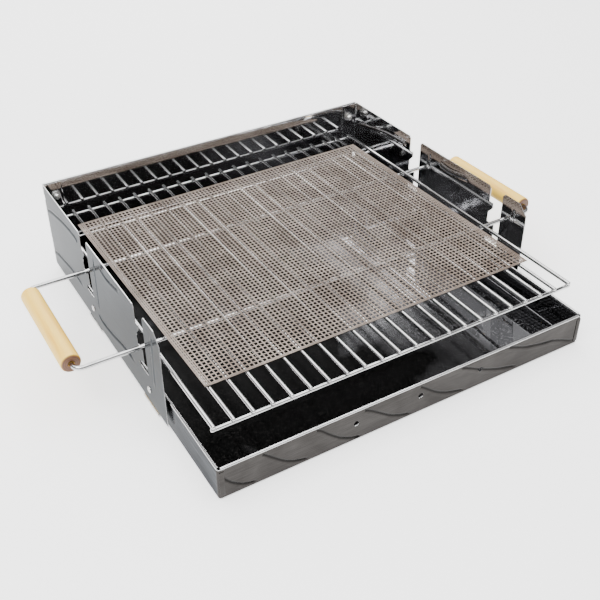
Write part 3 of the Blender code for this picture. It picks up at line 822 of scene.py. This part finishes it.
def slot_outline(arm):
    """One slot: a mouth, a tooth at the top level, a shelf at the next, and a hook at the floor."""
    reaches = (SLOT_FRONT, SHELF_FRONT, TOOTH_FRONT, SLOT_REAR)
    front, shelf, tooth, rear = (arm - WALL_FRONT + reach for reach in reaches)
    floor, lower, upper = (SLOT_FLOOR + level * LEVEL_STEP for level in range(3))
    over, mouth = WALL_TOP + OVER_TOP, WALL_TOP - MOUTH_DROP
    return [
        (rear + MOUTH_RUN, over), (rear, mouth), (rear, upper), (tooth, upper),
        (tooth, upper - TOOTH_DEPTH), (rear, lower + TOOTH_ROOT), (rear, lower), (shelf, lower),
        (shelf, floor + SHELF_DEPTH), (rear, floor + HOOK_HEIGHT), (rear, floor), (front, floor),
        (front, mouth), (front - MOUTH_RUN, over),
    ]


def fold_side(along, up, dent):
    """The outer face of the right wall: straight, then round the fold, then along the flange."""
    straight = WALL_REAR - FOLD - WALL_FRONT
    turn = FOLD * math.pi / 2
    if along <= straight:
        return Vector((WALL_OUT - dent, WALL_FRONT + along, up))
    if along <= straight + turn:
        angle = (along - straight) / FOLD
        x = WALL_OUT - FOLD + FOLD * math.cos(angle)
        return Vector((x, WALL_REAR - FOLD + FOLD * math.sin(angle), up))
    return Vector((WALL_OUT - FOLD - (along - straight - turn), WALL_REAR, up))


def make_side_wall(side):
    bm = bmesh.new()
    pressed = bm.verts.layers.float.new("pressed")
    straight = WALL_REAR - FOLD - WALL_FRONT
    turn = FOLD * math.pi / 2
    flange = WALL_OUT - FOLD - FLANGE_IN
    count = int(straight / GRAIN)
    stops = [straight * i / count for i in range(count + 1)]
    stops += [straight + turn * i / BEND_STEPS for i in range(1, BEND_STEPS + 1)]
    stops += [straight + turn + flange * i / BEND_STEPS for i in range(1, BEND_STEPS + 1)]
    rows = int((WALL_TOP - WALL_FOOT) / GRAIN)
    height = (WALL_TOP - WALL_FOOT) / rows
    mapped(bm, len(stops) - 1, rows, lambda c, r: (stops[c], WALL_FOOT + r * height, 0))
    for arm in ARMS:
        cut_outline(bm, slot_outline(arm))
    top, end = WALL_TOP + 0.001, stops[-1] + 0.001
    cut_outline(bm, [(-0.001, WALL_TOP - CHAMFER - 0.001), (CHAMFER + 0.001, top), (-0.001, top)])
    foot, half = WALL_FOOT - 0.001, straight + turn / 2
    cut_outline(bm, [(straight, foot), (end, foot), (end, FLANGE_FOOT), (straight, FLANGE_FOOT)])
    cut_outline(bm, [(half, FLANGE_TOP), (end, FLANGE_TOP), (end, top), (half, top)])
    verts = list(bm.verts)
    places = np.array([(v.co.x, v.co.y) for v in verts])
    scaled = [[(0.001 * y, 0.001 * z) for y, z in line] for line in SIDE_LINES]
    ribs = [[(0.001 * y, 0.001 * z) for y, z in line] for line in SIDE_RIBS]
    depth = press_depth(places, scaled, LINE_WIDTH, LINE_DEPTH)
    depth += press_depth(places, ribs, RIB_WIDTH, -RIB_HEIGHT)
    for vert, dent in zip(verts, depth):
        # pressed holds the press depth, which sets the painted shade in the lines.
        vert[pressed] = min(max(0, 1.5 * dent / LINE_DEPTH), 1)
        vert.co = fold_side(vert.co.x, vert.co.y, dent)
    if side == "left":
        bmesh.ops.scale(bm, vec=(-1, 1, 1), verts=bm.verts)
        bmesh.ops.reverse_faces(bm, faces=bm.faces)
    wall = as_piece(
        bm, f"{side}_wall_sheet", [POLISHED, INNER_STEEL, HEM_AND_EDGE_HIGHLIGHT], f"{side}_wall_body", f"{side}_wall",
        slot="wall_steel",
    )
    return thicken(wall, SHEET, 0.00014, backs=1, rims=2)


side_walls = {side: make_side_wall(side) for side in ("left", "right")}
print("side wall faces:", {side: len(wall.data.polygons) for side, wall in side_walls.items()})

# %% [markdown]
# ## The back wall
# The back wall is plain, because it is folded over everything when the grill is packed. It has a
# rolled top edge and a notch at each end that hooks on the corner studs.

# %% Back wall
back_low, back_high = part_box("back_wall")
STUD_PLACE, STUD_HEIGHT = middle("right_corner_stud").x, middle("right_corner_stud").z
NOTCH_REACH = 0.0035


def make_back_wall():
    bm = bmesh.new()
    wide, tall = 44, 12
    inner = back_low.y
    top = back_high.z - HEM_RADIUS
    size_x, size_z = 2 * back_high.x / wide, (top - back_low.z) / tall
    mapped(bm, wide, tall, lambda c, r: (back_low.x + c * size_x, back_low.z + r * size_z, 0))
    for sign in (-1, 1):
        edge = sign * (back_high.x + 0.001)
        stud = sign * STUD_PLACE
        low, high = STUD_HEIGHT - NOTCH_REACH, STUD_HEIGHT + NOTCH_REACH
        turns = [0.35 * step for step in range(-4, 5)]
        arc = [
            (stud - sign * NOTCH_REACH * math.cos(a), STUD_HEIGHT + NOTCH_REACH * math.sin(a)) for a in turns
        ]
        cut_outline(bm, [(edge, low), (stud, low), *arc, (stud, high), (edge, high)])
    for vert in bm.verts:
        vert.co = (vert.co.x, inner + SHEET, vert.co.y)
    bmesh.ops.reverse_faces(bm, faces=bm.faces)
    wall = as_piece(
        bm, "back_wall_sheet", [POLISHED, INNER_STEEL, HEM_AND_EDGE_HIGHLIGHT], "back_wall_body", "back_wall",
        slot="wall_steel",
    )
    thicken(wall, SHEET, 0.00014, backs=1, rims=2)
    bm = bmesh.new()
    y = inner + HEM_RADIUS
    ends = back_high.x - 0.0006
    rolled_edge(bm, (-ends, y, top), (ends, y, top))
    close_up(bm)
    as_piece(bm, "back_wall_hem", [HEM_AND_EDGE_HIGHLIGHT], "back_wall_body", slot="wall_steel")
    return wall


back_wall = make_back_wall()
print("back wall faces:", len(back_wall.data.polygons))

# %% [markdown]
# ## The grate
# Straight chromed bars lie on a front and a rear wire, and each crossing is spot welded. Every bar
# is a wire with rounded ends; the welds are small flattened beads that fill the crossings.

# %% Grate
BAR, SIDE_BAR, RAIL = 0.002, 0.0022, 0.002
BAR_HEIGHT = 0.0785
GRATE_LEFT, BAR_PITCH, BARS = -0.216, 0.020, 22
BAR_PLACES = [GRATE_LEFT + BAR_PITCH * index for index in range(BARS)]
GRATE_MIDDLE = GRATE_LEFT + BAR_PITCH * (BARS - 1) / 2
RAIL_FRONT, RAIL_REAR = -0.20875, 0.21075
WELD_SINK = 0.0004
RAIL_HEIGHT = BAR_HEIGHT - 2 * BAR + WELD_SINK
BAR_NOSE, BAR_TAIL, SIDE_BAR_TAIL, RAIL_TAIL = 0.0014, 0.003, 0.0008, 0.0015
WELD_RADIUS, WELD_SHAPE = 0.0022, (1.15, 1.15, 0.8)


def make_grate():
    bm = bmesh.new()
    for x in BAR_PLACES:
        outer = x in (BAR_PLACES[0], BAR_PLACES[-1])
        rear = RAIL_REAR + (SIDE_BAR_TAIL if outer else BAR_TAIL)
        stations = [RAIL_FRONT - BAR_NOSE, -0.1, 0.0, 0.1, rear]
        wire(bm, [(x, y, BAR_HEIGHT) for y in stations], SIDE_BAR if outer else BAR, 14)
    for y in (RAIL_FRONT, RAIL_REAR):
        ends = (BAR_PLACES[0] - RAIL_TAIL, GRATE_MIDDLE, BAR_PLACES[-1] + RAIL_TAIL)
        wire(bm, [(x, y, RAIL_HEIGHT) for x in ends], RAIL, 14)
    close_up(bm)
    for x in BAR_PLACES:
        for y in (RAIL_FRONT, RAIL_REAR):
            made = bmesh.ops.create_uvsphere(bm, u_segments=12, v_segments=6, radius=WELD_RADIUS)["verts"]
            bmesh.ops.scale(bm, vec=WELD_SHAPE, verts=made)
            bmesh.ops.translate(bm, vec=(x, y, BAR_HEIGHT - BAR), verts=made)
    return as_piece(bm, "grate_wires", [PLATED_WIRE], "grate", "grate_grid", slot="wire_chrome")


grate = make_grate()
print("grate faces:", len(grate.data.polygons))

# %% [markdown]
# ## Handle loops and grips
# A loop is one wire that runs out under the bars, turns through two right angles and comes back.
# The grip is turned round the outer run, with eased ends and a bore that the wire fills.

# %% Loops and grips
ARM_RADIUS = 0.0025
ARM_HEIGHT = middle("left_grip").z
BEND_RADIUS = 0.009
ARM_START = 0.0018
GRIP_BORE, GRIP_EASE = 0.0027, 0.0026


def make_loop(side):
    sign = -1 if side == "left" else 1
    grip = middle(f"{side}_grip")
    corner = grip.x - sign * BEND_RADIUS
    start = GRATE_MIDDLE + sign * ARM_START
    front, rear = ARMS
    angles = [math.radians(9 * step) for step in range(11)]
    bend = [(sign * BEND_RADIUS * math.sin(a), BEND_RADIUS * (1 - math.cos(a))) for a in angles]
    run = [(start + sign * reach, 0) for reach in (0, 0.07, 0.14)] + [(corner + x, y) for x, y in bend]
    path = [(x, front + y) for x, y in run] + [(grip.x, grip.y)] + [(x, rear - y) for x, y in reversed(run)]
    bm = bmesh.new()
    wire(bm, [(x, y, ARM_HEIGHT) for x, y in path], ARM_RADIUS, 18)
    close_up(bm)
    return as_piece(
        bm, f"{side}_loop_wire", [PLATED_WIRE], "grate", f"{side}_handle_loop", slot="wire_chrome"
    )


def make_grip(side):
    low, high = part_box(f"{side}_grip")
    centre = middle(f"{side}_grip")
    radius, half = (high.x - low.x) / 2, (high.y - low.y) / 2
    end = [(GRIP_BORE, half - 0.0025), (GRIP_BORE + 0.0003, half - 0.0004), (GRIP_BORE + 0.0008, half)]
    for degrees in range(0, 91, 15):
        angle = math.radians(degrees)
        end.append((radius - GRIP_EASE * (1 - math.sin(angle)), half - GRIP_EASE * (1 - math.cos(angle))))
    body = [(radius, half * k) for k in (0.7, 0.35, 0.0)]
    profile = end + body + [(r, -h) for r, h in reversed(end + body[:-1])]
    bm = bmesh.new()
    turned(bm, profile, centre, (0, 1, 0), 48)
    return as_piece(
        bm, f"{side}_grip_wood", [beech(f"{side}_beech", centre)], f"{side}_grip_body", f"{side}_grip",
        slot="beech",
    )


for side in ("left", "right"):
    make_loop(side)
    make_grip(side)
print("grips at", [round(1000 * middle(f"{side}_grip").x, 1) for side in ("left", "right")])

# %% [markdown]
# ## Rivets, washers, cap nuts and hinges
# The small hardware is turned or cut from bar. Each is built at the place of its plain part, with
# a domed head, a chamfer where a wrench goes and a ring under the head. The hinge leaves keep
# their folded shape and only get softer edges and a satin finish.

# %% Small hardware
HINGES = [f"{side}_{end}" for side in ("left", "right") for end in ("front", "rear")]
HINGES += ["back_left", "back_right"]


OUTWARD = {"left": Vector((-1, 0, 0)), "right": Vector((1, 0, 0)), "back": Vector((0, 1, 0))}
HEAD_RADIUS, HEAD_HEIGHT, HEAD_RIM = 0.0038, 0.0015, 0.0002
SHANK_RADIUS, TAIL_RADIUS, TAIL_HEIGHT = 0.0015, 0.0026, 0.0005
NUT_ACROSS, NUT_HEIGHT, NUT_EASE = 0.008, 0.0032, 0.0003
WASHER_HOLE, WASHER_EASE = 0.0023, 0.00018


def dome_profile(radius, height, foot=0.0):
    """The profile of a dome, from its top to its rim, on a foot."""
    angles = [math.radians(degrees) for degrees in range(0, 91, 15)]
    return [(radius * math.sin(a), foot + height * math.cos(a)) for a in angles]


def make_wall_rivet(hinge):
    node = f"{hinge}_wall_rivet"
    wall = hinge.split("_")[0]
    out = OUTWARD[wall]
    low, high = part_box(node)
    length = abs((high - low).dot(out))
    head = middle(node) + out * (length / 2 - HEAD_HEIGHT)
    inner = length - HEAD_HEIGHT
    profile = dome_profile(HEAD_RADIUS, HEAD_HEIGHT - HEAD_RIM, HEAD_RIM)
    profile += [(HEAD_RADIUS, 0.0), (SHANK_RADIUS, 0.0), (SHANK_RADIUS, TAIL_HEIGHT - inner)]
    profile += [(TAIL_RADIUS, TAIL_HEIGHT - inner), (TAIL_RADIUS, -inner), (0.0, -inner)]
    bm = bmesh.new()
    turned(bm, profile, head, out, 28)
    return as_piece(bm, f"{node}_head", [FASTENER], f"{wall}_wall_body", node, slot="fastener_steel")


def make_cap_nut(side):
    node = f"{side}_corner_cap_nut"
    low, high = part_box(node)
    centre = middle(node)
    bm = bmesh.new()
    corner = NUT_ACROSS / math.sqrt(3)
    made = bmesh.ops.create_cone(
        bm, cap_ends=True, segments=6, radius1=corner, radius2=corner, depth=NUT_HEIGHT
    )["verts"]
    bmesh.ops.rotate(bm, verts=made, matrix=Matrix.Rotation(math.radians(90), 3, "X"))
    bmesh.ops.translate(bm, vec=(centre.x, high.y - NUT_HEIGHT / 2, centre.z), verts=made)
    ease_edges(bm, NUT_EASE)
    top = high.y - NUT_HEIGHT
    dome = dome_profile(NUT_ACROSS / 2 - NUT_EASE, top - low.y)
    turned(bm, dome, (centre.x, top, centre.z), (0, -1, 0), 28)
    return as_piece(bm, f"{side}_cap_nut_cut", [FASTENER], f"{side}_wall_body", node, slot="fastener_steel")


def make_washer(side):
    node = f"{side}_corner_washer"
    low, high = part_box(node)
    centre = middle(node)
    radius, half = (high.x - low.x) / 2, (high.y - low.y) / 2
    flat, rim = radius - WASHER_EASE, half - WASHER_EASE
    profile = [(WASHER_HOLE, half), (flat, half), (radius, rim), (radius, -rim), (flat, -half)]
    profile += [(WASHER_HOLE, -half), (WASHER_HOLE, half)]
    bm = bmesh.new()
    turned(bm, profile, centre, (0, 1, 0), 36)
    return as_piece(bm, f"{side}_washer_turned", [FASTENER], f"{side}_wall_body", node, slot="fastener_steel")


def soften(node, width):
    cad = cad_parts[node]
    cad.data.materials.clear()
    cad.data.materials.append(FASTENER)
    round_edges(cad, width)


HINGE_PARTS = {
    "hinge_fixed_leaf": 0.00012,
    "hinge_moving_leaf": 0.00012,
    "hinge_pin": 0.0001,
    "tray_rivet": 0.0001,
}
for hinge in HINGES:
    make_wall_rivet(hinge)
    for part, width in HINGE_PARTS.items():
        soften(f"{hinge}_{part}", width)
for side in ("left", "right"):
    make_cap_nut(side)
    make_washer(side)
    soften(f"{side}_corner_stud", 0.0002)
print("hinges dressed:", len(HINGES))

# %% [markdown]
# ## The woven mat
# The mat is plain weave: each strand goes over one and under the next, and its neighbour does the
# opposite. One pair of neighbours is made from two mapped grids, four faces round and one ring per
# crossing, and an Array repeats the pair. Close strands along the edges make the selvedge.

# %% Mat
MAT_SIZE = (0.394, 0.336)
MAT_TURN = math.radians(0.6)
ALONG_X, ALONG_Y = 66, 84
STRAND_WIDTH, STRAND_HEIGHT = 0.0013, 0.00037
WEAVE = 0.00024
BAND_HEIGHT, END_BAND, SIDE_BAND = 0.0007, 0.0012, 0.0011
SIDE_BANDS = (0.0006, 0.0026, 0.0048)
mat_low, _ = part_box("mesh_mat")
MAT_MIDDLE = middle("mesh_mat")


def strand(bm, length, across, crossings, phase):
    """A flat strand along X at a distance across: up at one crossing and down at the next."""
    corners = [(-1, -1), (1, -1), (1, 1), (-1, 1)]

    def place(column, row):
        side, up = corners[column % 4]
        at_end = row in (0, crossings + 1)
        x = min(max((row - 0.5) / crossings, 0), 1) * length - length / 2
        z = 0 if at_end else WEAVE * (1 if (row + phase) % 2 else -1)
        return (x, across + side * STRAND_WIDTH / 2, z + up * STRAND_HEIGHT / 2)

    mapped(bm, 4, crossings + 1, place)


def strands(name, length, width, count, crossings):
    """All the strands in one direction, as a pair of neighbours and an Array."""
    step = width / count
    bm = bmesh.new()
    for index in (0, 1):
        strand(bm, length, step * (index + 0.5) - width / 2, crossings, index)
    close_up(bm)
    piece = add_object(name, mesh_from(bm, name))
    array = piece.modifiers.new("repeat", "ARRAY")
    array.use_relative_offset = False
    array.use_constant_offset = True
    array.constant_offset_displace = (0, 2 * step, 0)
    array.count = count // 2
    settle(piece)
    return piece


def make_mat():
    along_x = strands("strands_x", MAT_SIZE[0], MAT_SIZE[1], ALONG_X, ALONG_Y)
    along_y = strands("strands_y", MAT_SIZE[1], MAT_SIZE[0], ALONG_Y, ALONG_X)
    bm = bmesh.new()
    bm.from_mesh(along_y.data)
    bmesh.ops.rotate(bm, verts=bm.verts, matrix=Matrix.Rotation(math.radians(90), 3, "Z"))
    bm.from_mesh(along_x.data)
    x, y = MAT_SIZE[0] / 2, MAT_SIZE[1] / 2
    for sign in (-1, 1):
        block(bm, (2 * x, END_BAND, BAND_HEIGHT), (0, sign * (y - END_BAND / 2), 0))
        for edge in SIDE_BANDS:
            block(bm, (SIDE_BAND, 2 * y, BAND_HEIGHT), (sign * (x - edge), 0, 0))
    bmesh.ops.rotate(bm, verts=bm.verts, matrix=Matrix.Rotation(MAT_TURN, 3, "Z"))
    height = mat_low.z + WEAVE + STRAND_HEIGHT / 2
    bmesh.ops.translate(bm, vec=(MAT_MIDDLE.x, MAT_MIDDLE.y, height), verts=bm.verts)
    for plain in (along_x, along_y):
        bpy.data.objects.remove(plain)
    mat = as_piece(bm, "woven_mat", [STRANDS], "mat", "mesh_mat", slot="mat_weave", smooth=50)
    return mat


mat = make_mat()
print("mat faces:", len(mat.data.polygons))
